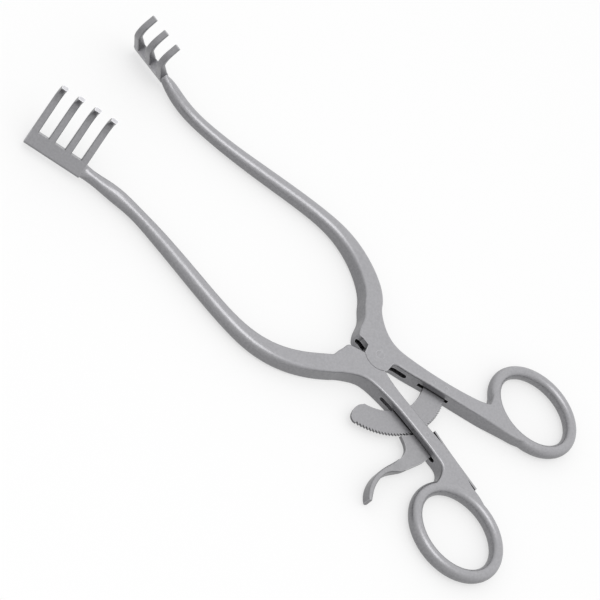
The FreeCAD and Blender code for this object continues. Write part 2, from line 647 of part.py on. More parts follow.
def make_ratchet_rack(doc):
    """Make the rack: a flat arc about the pivot with ratchet teeth on its outer edge."""
    inner, outer = size(doc, "rack_inner_radius"), size(doc, "rack_outer_radius")
    body = doc.addObject("PartDesign::Body", "ratchet_rack")
    body.Label = "ratchet_rack"
    outline = body_sketch(doc, body, "rack_outline", "XY_Plane")
    inner_start, inner_end = polar(inner, -62.0), polar(inner, -162.6)
    outer_start, outer_end = polar(outer, -164.8), polar(outer, -66.2)
    corner_start, corner_end = vec(-20.7, -4.75), vec(-25.7, -4.4)
    outline.addGeometry([
        Part.Arc(inner_start, polar(inner, -110.0), inner_end),
        Part.Arc(inner_end, vec(-19.45, -5.05), corner_start),
        Part.LineSegment(corner_start, corner_end),
        Part.Arc(corner_end, vec(-27.5, -5.4), outer_start),
        Part.Arc(outer_start, polar(outer, -110.0), outer_end),
        Part.LineSegment(outer_end, inner_start),
    ], False)
    pad = body.newObject("PartDesign::Pad", "rack_plate")
    pad.Profile = outline
    pad.Midplane = True
    bind(pad, {"Length": "sizes.rack_thickness"})

    first, pitch = size(doc, "tooth_first"), size(doc, "tooth_pitch")
    depth = size(doc, "tooth_depth")
    notch = body_sketch(doc, body, "tooth_notch", "XY_Plane")
    places = [polar(outer + 0.3, first + 0.1 * pitch), polar(outer - depth, first + 0.14 * pitch),
              polar(outer, first + 0.96 * pitch), polar(outer + 0.3, first + 1.2 * pitch)]
    notch.addGeometry([Part.LineSegment(a, b) for a, b in zip(places, places[1:] + places[:1])], False)
    cut = body.newObject("PartDesign::Pocket", "tooth_gap")
    cut.Profile = notch
    cut.Midplane = True
    cut.Type = "Length"
    bind(cut, {"Length": "2 * sizes.rack_thickness"})
    teeth = body.newObject("PartDesign::PolarPattern", "teeth")
    teeth.Originals = [cut]
    axis = [item for item in body.Origin.OriginFeatures if item.Role == "Z_Axis"][0]
    teeth.Axis = (axis, [""])
    bind(teeth, {"Angle": "sizes.tooth_pitch * (sizes.tooth_count - 1)", "Occurrences": "sizes.tooth_count"})
    body.Tip = teeth
    doc.recompute()
    bore = body_sketch(doc, body, "rack_rivet_places", "XY_Plane")
    bore.addGeometry([Part.Circle(vec(x, y), vec(0, 0, 1), size(doc, "rack_rivet_radius")
                                  + size(doc, "seat_clearance")) for x, y in RACK_RIVETS.values()], False)
    holes = body.newObject("PartDesign::Pocket", "rack_rivet_holes")
    holes.Profile = bore
    holes.Midplane = True
    holes.Type = "Length"
    bind(holes, {"Length": "2 * sizes.rack_thickness"})
    body.Tip = holes
    bind(body, {"Placement.Base.z": "sizes.forging_thickness / 2"})
    return body


def make_release_lever(doc):
    """Make the release lever: pawl nose, plate and thumb tab."""
    middle = size(doc, "forging_thickness") / 2
    thick = size(doc, "lever_thickness")
    wire = Part.Wire(Part.__sortEdges__([flat_edge(shape, points) for shape, points in LEVER_PLATE]))
    plate = Part.Face(wire).extrude(vec(0, 0, thick))
    plate.translate(vec(0, 0, -thick / 2))
    path = Part.BSplineCurve()
    centres = [vec(x, y) for x, y, _, _, _ in LEVER_TAB]
    first_edge = vec(*LEVER_PLATE[2][1][1]) - vec(*LEVER_PLATE[2][1][0])
    start = vec(first_edge.y, -first_edge.x).normalize()
    path.interpolate(Points=centres, InitialTangent=start, FinalTangent=vec(-0.86, -0.5))
    wires = []
    for centre, (x, y, width, height, corner) in zip(centres, LEVER_TAB):
        tangent = path.tangent(path.parameter(centre))[0]
        across = vec(tangent.y, -tangent.x)
        wires.append(section_wire(centre, across, vec(0, 0, 1), width, height, corner))
    tab = Part.makeLoft(wires, True, False)
    pin = Part.makeCylinder(size(doc, "lever_pin_radius") + size(doc, "running_clearance"), 2 * thick,
                            vec(0, 0, -thick))
    lever = doc.addObject("Part::Feature", "release_lever")
    lever.Label = "release_lever"
    lever.Shape = plate.fuse(tab).cut(pin).removeSplitter()
    lever.Placement = FreeCAD.Placement(vec(size(doc, "lever_pin_x"), size(doc, "lever_pin_y"), middle),
                                        FreeCAD.Rotation())
    return lever


def make_leaf_spring(doc):
    """Make the leaf spring: a strip that bows off the shank towards its free end."""
    body = doc.addObject("PartDesign::Body", "leaf_spring")
    body.Label = "leaf_spring"
    thick, thin = size(doc, "spring_thickness"), size(doc, "spring_tip_thickness")
    foot, reach = size(doc, "spring_foot"), size(doc, "spring_reach")
    bow = 0.7
    outline = body_sketch(doc, body, "spring_outline", "XY_Plane")
    inner = [vec(foot, 0), vec(-6, 0), vec(-reach * 0.66, bow * 0.27), vec(-reach, bow)]
    outer = [vec(-reach - 0.02, bow + thin), vec(-reach * 0.66, bow * 0.27 + (thin + thick) / 2),
             vec(-6, thick), vec(foot, thick)]
    outline.addGeometry([
        Part.LineSegment(inner[0], inner[1]),
        Part.Arc(inner[1], inner[2], inner[3]),
        Part.LineSegment(inner[3], outer[0]),
        Part.Arc(outer[0], outer[1], outer[2]),
        Part.LineSegment(outer[2], outer[3]),
        Part.LineSegment(outer[3], inner[0]),
    ], False)
    pad = body.newObject("PartDesign::Pad", "spring_strip")
    pad.Profile = outline
    pad.Midplane = True
    bind(pad, {"Length": "sizes.spring_width"})
    hole = body_sketch(doc, body, "spring_screw_place", "XZ_Plane")
    hole.addGeometry([Part.Circle(vec(0, 0), vec(0, 0, 1), size(doc, "screw_radius")
                                  + size(doc, "running_clearance"))], False)
    pocket = body.newObject("PartDesign::Pocket", "spring_screw_hole")
    pocket.Profile = hole
    pocket.Midplane = True
    pocket.Type = "Length"
    bind(pocket, {"Length": "4 * sizes.spring_thickness"})
    body.Tip = pocket
    body.Placement = FreeCAD.Placement(seat_point(doc), FreeCAD.Rotation(vec(0, 0, 1), size(doc, "spring_turn")))
    return body


def make_spring_screw(doc):
    """Make the screw of the leaf spring: plain shank, low domed head and driver slot."""
    body = doc.addObject("PartDesign::Body", "spring_screw")
    body.Label = "spring_screw"
    radius, head = size(doc, "screw_radius"), size(doc, "screw_head_radius")
    length, rise = size(doc, "screw_length"), size(doc, "screw_head_height")
    seat = size(doc, "spring_thickness")
    rim = 0.3
    profile = body_sketch(doc, body, "screw_profile", "XZ_Plane")
    places = [vec(0, -length), vec(radius, -length), vec(radius, seat), vec(head, seat),
              vec(head, seat + rim), vec(0, seat + rise)]
    bulge = vec(head * 0.6, seat + rim + (rise - rim) * 0.68)
    profile.addGeometry([
        Part.LineSegment(places[0], places[1]),
        Part.LineSegment(places[1], places[2]),
        Part.LineSegment(places[2], places[3]),
        Part.LineSegment(places[3], places[4]),
        Part.Arc(places[4], bulge, places[5]),
        Part.LineSegment(places[5], places[0]),
    ], False)
    turned = body.newObject("PartDesign::Revolution", "screw_turned")
    turned.Profile = profile
    turned.ReferenceAxis = (profile, ["V_Axis"])
    turned.Angle = 360
    half = size(doc, "screw_slot_width") / 2
    level = seat + rise - size(doc, "screw_slot_depth")
    slot = body_sketch(doc, body, "driver_slot", "XZ_Plane")
    corners = [vec(-half, level), vec(half, level), vec(half, level + 1), vec(-half, level + 1)]
    slot.addGeometry([Part.LineSegment(a, b) for a, b in zip(corners, corners[1:] + corners[:1])], False)
    pocket = body.newObject("PartDesign::Pocket", "driver_slot_cut")
    pocket.Profile = slot
    pocket.Midplane = True
    pocket.Type = "Length"
    bind(pocket, {"Length": "4 * sizes.screw_head_radius"})
    body.Tip = pocket
    body.Placement = FreeCAD.Placement(seat_point(doc), FreeCAD.Rotation(vec(0, 0, 1), seat_outward(doc)))
    return body


def check(doc, parts):
    """Stop when an object failed to compute or a sub-part's shape is not valid."""
    for obj in doc.Objects:
        if "Invalid" in obj.State or "Error" in obj.State:
            raise RuntimeError("%s did not compute: %s" % (obj.Name, obj.State))
    for part in parts:
        shape = part.Shape
        if shape.isNull() or not shape.isValid() or len(shape.Solids) != 1:
            raise RuntimeError("%s has no single valid solid" % part.Label)


def main():
    """Build every sub-part, check them all and write one STEP file for each."""
    doc = FreeCAD.newDocument("retractor")
    make_sheet(doc)
    parts = [make_four_prong_half(doc), make_three_prong_half(doc), make_pivot_rivet(doc),
             make_ratchet_rack(doc)]
    parts += [make_rack_rivet(doc, name) for name in RACK_RIVETS]
    parts += [make_release_lever(doc), make_lever_pin(doc), make_leaf_spring(doc), make_spring_screw(doc)]
    doc.recompute()
    check(doc, parts)
    os.makedirs("parts", exist_ok=True)
    for part in parts:
        part.Shape.exportStep("parts/%s.step" % part.Label)


main()
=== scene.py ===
import logging
import math
from dataclasses import dataclass, field
from enum import Enum

import bmesh
import bpy
from mathutils import Matrix, Vector


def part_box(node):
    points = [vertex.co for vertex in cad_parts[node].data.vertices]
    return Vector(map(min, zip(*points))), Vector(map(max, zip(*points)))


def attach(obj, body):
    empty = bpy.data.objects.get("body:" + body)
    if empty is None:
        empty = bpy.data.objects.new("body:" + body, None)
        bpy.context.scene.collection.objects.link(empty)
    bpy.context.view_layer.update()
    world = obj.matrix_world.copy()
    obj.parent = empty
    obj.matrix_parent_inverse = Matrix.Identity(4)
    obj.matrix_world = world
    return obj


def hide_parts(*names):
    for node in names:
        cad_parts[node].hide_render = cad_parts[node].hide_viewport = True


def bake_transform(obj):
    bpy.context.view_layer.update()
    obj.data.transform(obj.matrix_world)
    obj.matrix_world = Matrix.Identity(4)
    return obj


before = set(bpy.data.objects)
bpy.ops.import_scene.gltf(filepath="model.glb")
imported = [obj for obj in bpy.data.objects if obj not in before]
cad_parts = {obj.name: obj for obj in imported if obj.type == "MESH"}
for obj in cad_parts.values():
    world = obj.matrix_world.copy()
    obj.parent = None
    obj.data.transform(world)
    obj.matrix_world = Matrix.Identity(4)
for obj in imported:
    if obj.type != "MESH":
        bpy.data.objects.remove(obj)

LOG = logging.getLogger("retractor")
MILLIMETRE = 0.001
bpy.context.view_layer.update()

Socket = bpy.types.NodeSocket
Point = tuple[float, float]
Place = tuple[float, float, float]


class Grain(Enum):
    """How the surface of a steel piece was last worked; the values stretch the grain along X, Y and Z."""

    BLASTED = (1.0, 1.0, 1.0)
    ALONG_Y = (1.0, 0.12, 1.0)
    ALONG_X = (0.12, 1.0, 1.0)


@dataclass(frozen=True)
class Noise:
    """The settings of one noise texture.

    Attributes:
        scale: bumps per metre.
        detail: number of finer layers.
        roughness: how strong the finer layers are.
        distortion: how much the pattern is bent.
    """

    scale: float
    detail: float
    roughness: float = 0.5
    distortion: float = 0.0


@dataclass(frozen=True)
class JointLine:
    """The dark arc round the pivot where the cheek of one half meets the shoulder of the other.

    Attributes:
        radius: from the pivot to the middle of the line, in metres.
        half_width: half the width of the line, in metres.
        soft_shares: shares of the half width between which the line fades out.
        reach: the line is drawn where x is below this, in metres.
        shade: how much darker it is.
    """

    radius: float = 0.00603
    half_width: float = 0.00017
    soft_shares: Point = (0.5, 1.5)
    reach: float = -0.00419
    shade: float = 0.60


@dataclass(frozen=True)
class SteelFinish:
    """A satin stainless steel finish.

    Attributes:
        name: name of the material.
        tone: base colour, linear.
        roughness: mean roughness.
        grain: direction of the last work on the surface.
        grain_depth: height of the grain in millimetres.
        painted_edge_highlight: how much brighter the colour is on the worn edges, a painted highlight.
        smudge: strength of the faint uneven patches.
        painted_wall_shade: how much darker the colour is on the side walls, a painted shade.
        painted_crevice_shade: how much darker the colour is in the corners and joint lines, a painted shade.
        joint_line: the line that the box joint draws on the faces, where the finish has one.
        fleck_tone: how much lighter or darker the small flecks are.
        grain_roughness: how much the grain changes the roughness.
        patch_roughness: share of a smudge's strength that goes into the roughness.
        edge_polish: how much smoother the worn edges are.
        swell_depth: height of the swell of hand finishing in millimetres.
        deepest_shade: the most that the painted shade on the walls and in the crevices and the joint line
            darken together.
        relief: strength of the bump.
    """

    name: str
    tone: tuple[float, float, float]
    roughness: float
    grain: Grain
    grain_depth: float
    painted_edge_highlight: float
    smudge: float
    painted_wall_shade: float = 0.42
    painted_crevice_shade: float = 0.45
    joint_line: JointLine | None = None
    fleck_tone: float = 0.08
    grain_roughness: float = 0.03
    patch_roughness: float = 0.5
    edge_polish: float = 0.08
    swell_depth: float = 0.05
    deepest_shade: float = 0.75
    relief: float = 0.6


class NodeWriter:
    """A short way to add and join nodes in one tree."""

    def __init__(self, tree: bpy.types.NodeTree) -> None:
        """Keep the tree that the nodes are added to."""
        self.tree = tree

    def add(self, kind: str, **values: object) -> bpy.types.Node:
        """Add a node and set its attributes.

        Args:
            kind: Blender's name of the node type.
            **values: attributes of the node.

        Returns:
            The new node.
        """
        node = self.tree.nodes.new(kind)
        for name, value in values.items():
            setattr(node, name, value)
        return node

    def join(self, source: Socket, target: Socket) -> None:
        """Link one socket to another."""
        self.tree.links.new(source, target)

    def math(self, operation: str, first: Socket | float, second: Socket | float = 0.0) -> Socket:
        """Add a math node.

        Args:
            operation: Blender's name of the operation.
            first: a socket or a number.
            second: a socket or a number.

        Returns:
            The result's socket.
        """
        node = self.add("ShaderNodeMath", operation=operation)
        for socket, value in zip(node.inputs, (first, second)):
            if isinstance(value, Socket):
                self.join(value, socket)
            else:
                socket.default_value = value
        return node.outputs[0]

    def spread(self, value: Socket, limits: Point, result: Point) -> Socket:
        """Map a value from one range to another.

        Args:
            value: the socket to map.
            limits: the range it comes in.
            result: the range it goes to.

        Returns:
            The mapped value's socket.
        """
        node = self.add("ShaderNodeMapRange")
        self.join(value, node.inputs["Value"])
        for name, number in zip(("From Min", "From Max", "To Min", "To Max"), limits + result):
            node.inputs[name].default_value = number
        return node.outputs["Result"]

    def noise(self, settings: Noise, place: Socket) -> Socket:
        """Add a noise texture.

        Args:
            settings: its scale and its layers.
            place: where it is read.

        Returns:
            The socket of its value.
        """
        node = self.add("ShaderNodeTexNoise", noise_dimensions="3D")
        node.inputs["Scale"].default_value = settings.scale
        node.inputs["Detail"].default_value = settings.detail
        node.inputs["Roughness"].default_value = settings.roughness
        node.inputs["Distortion"].default_value = settings.distortion
        self.join(place, node.inputs["Vector"])
        return node.outputs["Fac"]


def new_group(name: str, inputs: dict[str, float],
              outputs: tuple[str, ...]) -> tuple[NodeWriter, bpy.types.Node, bpy.types.Node]:
    """Make an empty shader node group with named sockets.

    Args:
        name: name of the group.
        inputs: name and default of each number that goes in.
        outputs: name of each number that comes out.

    Returns:
        The group's writer, its input node and its output node.
    """
    group = bpy.data.node_groups.new(name, "ShaderNodeTree")
    for label, default in inputs.items():
        socket = group.interface.new_socket(label, in_out="INPUT", socket_type="NodeSocketFloat")
        socket.default_value = default
    for label in outputs:
        group.interface.new_socket(label, in_out="OUTPUT", socket_type="NodeSocketFloat")
    writer = NodeWriter(group)
    return writer, writer.add("NodeGroupInput"), writer.add("NodeGroupOutput")


class SteelEffects:
    """The node groups that every steel finish shares."""

    FINE_GRAIN = Noise(scale=2600.0, detail=3.0, roughness=0.6)
    FLECK = Noise(scale=1300.0, detail=4.0, roughness=0.65)
    PATCH = Noise(scale=95.0, detail=5.0, roughness=0.55, distortion=0.6)
    SWELL = Noise(scale=60.0, detail=1.0)
    NOISE_MIDDLE = 0.5
    BEVEL_SAMPLES = 6
    EDGE_LIKENESS = (1.0, 0.75)
    OPENNESS_SAMPLES = 8
    CREVICE_OPENNESS = (0.35, 0.85)

    def __init__(self) -> None:
        """Build each group once."""
        self.grain = self._grain()
        self.smudge = self._smudge()
        self.edge = self._edge()
        self.wall = self._wall_painted_shade()
        self.crevice_painted_shade = self._crevice_painted_shade()

    def _grain(self) -> bpy.types.NodeTree:
        """Build the fine grain of blasted or brushed steel.

        Returns:
            The group.
        """
        stretches = ("Stretch X", "Stretch Y", "Stretch Z")
        writer, inlet, outlet = new_group("steel grain", dict.fromkeys(stretches, 1.0), ("Grain", "Fleck"))
        place = writer.add("ShaderNodeTexCoord")
        scale = writer.add("ShaderNodeCombineXYZ")
        for index, name in enumerate(stretches):
            writer.join(inlet.outputs[name], scale.inputs[index])
        stretched = writer.add("ShaderNodeVectorMath", operation="MULTIPLY")
        writer.join(place.outputs["Object"], stretched.inputs[0])
        writer.join(scale.outputs[0], stretched.inputs[1])
        writer.join(writer.noise(self.FINE_GRAIN, stretched.outputs[0]), outlet.inputs["Grain"])
        writer.join(writer.noise(self.FLECK, stretched.outputs[0]), outlet.inputs["Fleck"])
        return writer.tree

    def _smudge(self) -> bpy.types.NodeTree:
        """Build the wide faint patches of a handled instrument, and the swell of hand finishing.

        Returns:
            The group.
        """
        writer, inlet, outlet = new_group("handling smudge", {"Amount": 1.0}, ("Patch", "Swell"))
        place = writer.add("ShaderNodeTexCoord")
        patch = writer.noise(self.PATCH, place.outputs["Object"])
        centred = writer.math("SUBTRACT", patch, self.NOISE_MIDDLE)
        writer.join(writer.math("MULTIPLY", centred, inlet.outputs["Amount"]), outlet.inputs["Patch"])
        writer.join(writer.noise(self.SWELL, place.outputs["Object"]), outlet.inputs["Swell"])
        return writer.tree

    def _edge(self) -> bpy.types.NodeTree:
        """Build the mask of edges that handling has polished; it lowers the roughness there and lightens the
        colour as a painted highlight.

        Returns:
            The group.
        """
        writer, inlet, outlet = new_group("polished edge and painted highlight", {"Reach": 0.0005}, ("Mask",))
        bevel = writer.add("ShaderNodeBevel", samples=self.BEVEL_SAMPLES)
        writer.join(inlet.outputs["Reach"], bevel.inputs["Radius"])
        geometry = writer.add("ShaderNodeNewGeometry")
        likeness = writer.add("ShaderNodeVectorMath", operation="DOT_PRODUCT")
        writer.join(bevel.outputs["Normal"], likeness.inputs[0])
        writer.join(geometry.outputs["Normal"], likeness.inputs[1])
        mask = writer.spread(likeness.outputs["Value"], self.EDGE_LIKENESS, (0.0, 1.0))
        writer.join(mask, outlet.inputs["Mask"])
        return writer.tree

    def _wall_painted_shade(self) -> bpy.types.NodeTree:
        """Build the mask of the side walls, one where a surface stands upright or looks down, for painted
        shade on them.

        Returns:
            The group.
        """
        writer, inlet, outlet = new_group("painted wall shade", {"Upright": 0.15, "Flat": 0.93}, ("Mask",))
        place = writer.add("ShaderNodeTexCoord")
        split = writer.add("ShaderNodeSeparateXYZ")
        writer.join(place.outputs["Normal"], split.inputs[0])
        ramp = writer.add("ShaderNodeMapRange", interpolation_type="SMOOTHSTEP")
        writer.join(split.outputs["Z"], ramp.inputs["Value"])
        writer.join(inlet.outputs["Upright"], ramp.inputs["From Min"])
        writer.join(inlet.outputs["Flat"], ramp.inputs["From Max"])
        ramp.inputs["To Min"].default_value = 1.0
        ramp.inputs["To Max"].default_value = 0.0
        writer.join(ramp.outputs["Result"], outlet.inputs["Mask"])
        return writer.tree

    def _crevice_painted_shade(self) -> bpy.types.NodeTree:
        """Build the mask of inner corners and joint lines, where little of the surroundings is open, for
        painted shade there.

        Returns:
            The group.
        """
        writer, inlet, outlet = new_group("crevice_painted_shade", {"Reach": 0.0012}, ("Mask",))
        openness = writer.add("ShaderNodeAmbientOcclusion", samples=self.OPENNESS_SAMPLES)
        writer.join(inlet.outputs["Reach"], openness.inputs["Distance"])
        mask = writer.spread(openness.outputs["AO"], self.CREVICE_OPENNESS, (1.0, 0.0))
        writer.join(mask, outlet.inputs["Mask"])
        return writer.tree


class SteelCoat:
    """One steel material while it is being made from the shared effects."""

    NOISE_LIMITS = (0.3, 0.7)

    def __init__(self, finish: SteelFinish, effects: SteelEffects) -> None:
        """Make the empty material and place the effects in it.

        Args:
            finish: the finish that the material shows.
            effects: the groups that it uses.
        """
        self.finish = finish
        self.material = bpy.data.materials.new(finish.name)
        self.material.use_nodes = True
        self.material.node_tree.nodes.clear()
        self.writer = NodeWriter(self.material.node_tree)
        self.grain = self._place(effects.grain)
        for socket, stretch in zip(self.grain.inputs, finish.grain.value):
            socket.default_value = stretch
        self.smudge = self._place(effects.smudge)
        self.smudge.inputs["Amount"].default_value = finish.smudge
        self.edge = self._place(effects.edge)
        self.wall = self._place(effects.wall)
        self.crevice_painted_shade = self._place(effects.crevice_painted_shade)

    def _place(self, tree: bpy.types.NodeTree) -> bpy.types.Node:
        """Place one of the shared groups in the material."""
        return self.writer.add("ShaderNodeGroup", node_tree=tree)

    def _share(self, mask: Socket, amount: float) -> Socket:
        """Return a mask times an amount."""
        return self.writer.math("MULTIPLY", mask, amount)

    def _joint_mask(self, line: JointLine) -> Socket:
        """Draw the joint line as a mask.

        Args:
            line: the line to draw.

        Returns:
            A socket that is one on the line and nought elsewhere.
        """
        writer = self.writer
        place = writer.add("ShaderNodeTexCoord")
        flat = writer.add("ShaderNodeVectorMath", operation="MULTIPLY")
        writer.join(place.outputs["Object"], flat.inputs[0])
        flat.inputs[1].default_value = (1.0, 1.0, 0.0)
        distance = writer.add("ShaderNodeVectorMath", operation="LENGTH")
        writer.join(flat.outputs[0], distance.inputs[0])
        off_line = writer.math("ABSOLUTE", writer.math("SUBTRACT", distance.outputs["Value"], line.radius))
        fade = tuple(share * line.half_width for share in line.soft_shares)
        near = writer.spread(off_line, fade, (1.0, 0.0))
        split = writer.add("ShaderNodeSeparateXYZ")
        writer.join(place.outputs["Object"], split.inputs[0])
        return writer.math("MULTIPLY", near, writer.math("LESS_THAN", split.outputs["X"], line.reach))

    def colour(self) -> Socket:
        """Join the base colour: the tone, lighter or darker with each effect, with a painted highlight on
        the edges and painted shade on the walls and in the crevices.

        Returns:
            The colour's socket.
        """
        finish, writer = self.finish, self.writer
        fleck = writer.spread(self.grain.outputs["Fleck"], self.NOISE_LIMITS,
                              (-finish.fleck_tone, finish.fleck_tone))
        shade = writer.math("ADD", self.smudge.outputs["Patch"], fleck)
        # painted highlight on the worn edges
        shade = writer.math("ADD", shade, self._share(self.edge.outputs["Mask"], finish.painted_edge_highlight))
        # painted shade on the side walls and in the crevices, and the dark joint line
        painted_shade_and_joint_line = writer.math("ADD", self._share(self.wall.outputs["Mask"], finish.painted_wall_shade),
                           self._share(self.crevice_painted_shade.outputs["Mask"], finish.painted_crevice_shade))
        if finish.joint_line:
            line = self._joint_mask(finish.joint_line)
            painted_shade_and_joint_line = writer.math("ADD", painted_shade_and_joint_line, self._share(line, finish.joint_line.shade))
        shade = writer.math("SUBTRACT", shade, writer.math("MINIMUM", painted_shade_and_joint_line, finish.deepest_shade))
        colour = writer.add("ShaderNodeVectorMath", operation="SCALE")
        colour.inputs[0].default_value = finish.tone
        writer.join(writer.math("ADD", shade, 1.0), colour.inputs["Scale"])
        return colour.outputs[0]

    def roughness(self) -> Socket:
        """Join the roughness: uneven with the grain and the smudges, less on worn edges.

        Returns:
            The roughness's socket.
        """
        finish, writer = self.finish, self.writer
        grain = writer.spread(self.grain.outputs["Grain"], self.NOISE_LIMITS,
                              (-finish.grain_roughness, finish.grain_roughness))
        rough = writer.math("ADD", self._share(self.smudge.outputs["Patch"], finish.patch_roughness), grain)
        rough = writer.math("SUBTRACT", rough, self._share(self.edge.outputs["Mask"], finish.edge_polish))
        return writer.math("ADD", rough, finish.roughness)

    def normal(self) -> Socket:
        """Join the normal: the grain and the swell as a bump.

        Returns:
            The normal's socket.
        """
        finish, writer = self.finish, self.writer
        height = writer.math("ADD", self._share(self.grain.outputs["Grain"], finish.grain_depth),
                             self._share(self.smudge.outputs["Swell"], finish.swell_depth))
        bump = writer.add("ShaderNodeBump")
        bump.inputs["Strength"].default_value = finish.relief
        bump.inputs["Distance"].default_value = MILLIMETRE
        writer.join(height, bump.inputs["Height"])
        return bump.outputs["Normal"]

    def finished(self) -> bpy.types.Material:
        """Add the shader and join it up.

        Returns:
            The finished material.
        """
        shader = self.writer.add("ShaderNodeBsdfPrincipled")
        shader.inputs["Metallic"].default_value = 1.0
        self.writer.join(self.colour(), shader.inputs["Base Color"])
        self.writer.join(self.roughness(), shader.inputs["Roughness"])
        self.writer.join(self.normal(), shader.inputs["Normal"])
        output = self.writer.add("ShaderNodeOutputMaterial")
        self.writer.join(shader.outputs["BSDF"], output.inputs["Surface"])
        return self.material


class SteelShop:
    """Makes the steel materials and puts them on the pieces."""

    def __init__(self) -> None:
        """Build the effects and keep the materials made so far."""
        self.effects = SteelEffects()
        self.made: dict[str, bpy.types.Material] = {}

    def material(self, finish: SteelFinish) -> bpy.types.Material:
        """Make the material of a finish, or return it if it is there.

        Args:
            finish: the finish to make.

        Returns:
            The material.
        """
        if finish.name not in self.made:
            self.made[finish.name] = SteelCoat(finish, self.effects).finished()
        return self.made[finish.name]

    def dress(self, piece: bpy.types.Object, finish: SteelFinish) -> None:
        """Give a piece its finish.

        Args:
            piece: a carried-over piece or a new one.
            finish: the finish it gets.
        """
        piece.data.materials.clear()
        piece.data.materials.append(self.material(finish))
        LOG.info("dressed %s with %s", piece.name, finish.name)


@dataclass
class ForgedHalves:
    """The two forged halves and the rivets that join them and their small parts."""

    finish: SteelFinish = SteelFinish(
        "satin forged steel", tone=(0.420, 0.418, 0.434), roughness=0.37, grain=Grain.BLASTED,
        grain_depth=0.014, painted_edge_highlight=0.40, smudge=0.06, joint_line=JointLine())
    rivet_finish: SteelFinish = SteelFinish(
        "flush rivet steel", tone=(0.415, 0.413, 0.429), roughness=0.37, grain=Grain.ALONG_X,
        grain_depth=0.010, painted_edge_highlight=0.0, smudge=0.06)
    halves: tuple[str, ...] = ("four_prong_half", "three_prong_half")
    rivets: tuple[str, ...] = ("pivot_rivet", "rack_rivet_upper", "rack_rivet_lower", "lever_pin")

    def dress(self, shop: SteelShop) -> None:
        """Dress the halves and their rivets.

        Args:
            shop: the shop that makes the materials.
        """
        for node in self.halves:
            shop.dress(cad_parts[node], self.finish)
        for node in self.rivets:
            shop.dress(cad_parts[node], self.rivet_finish)


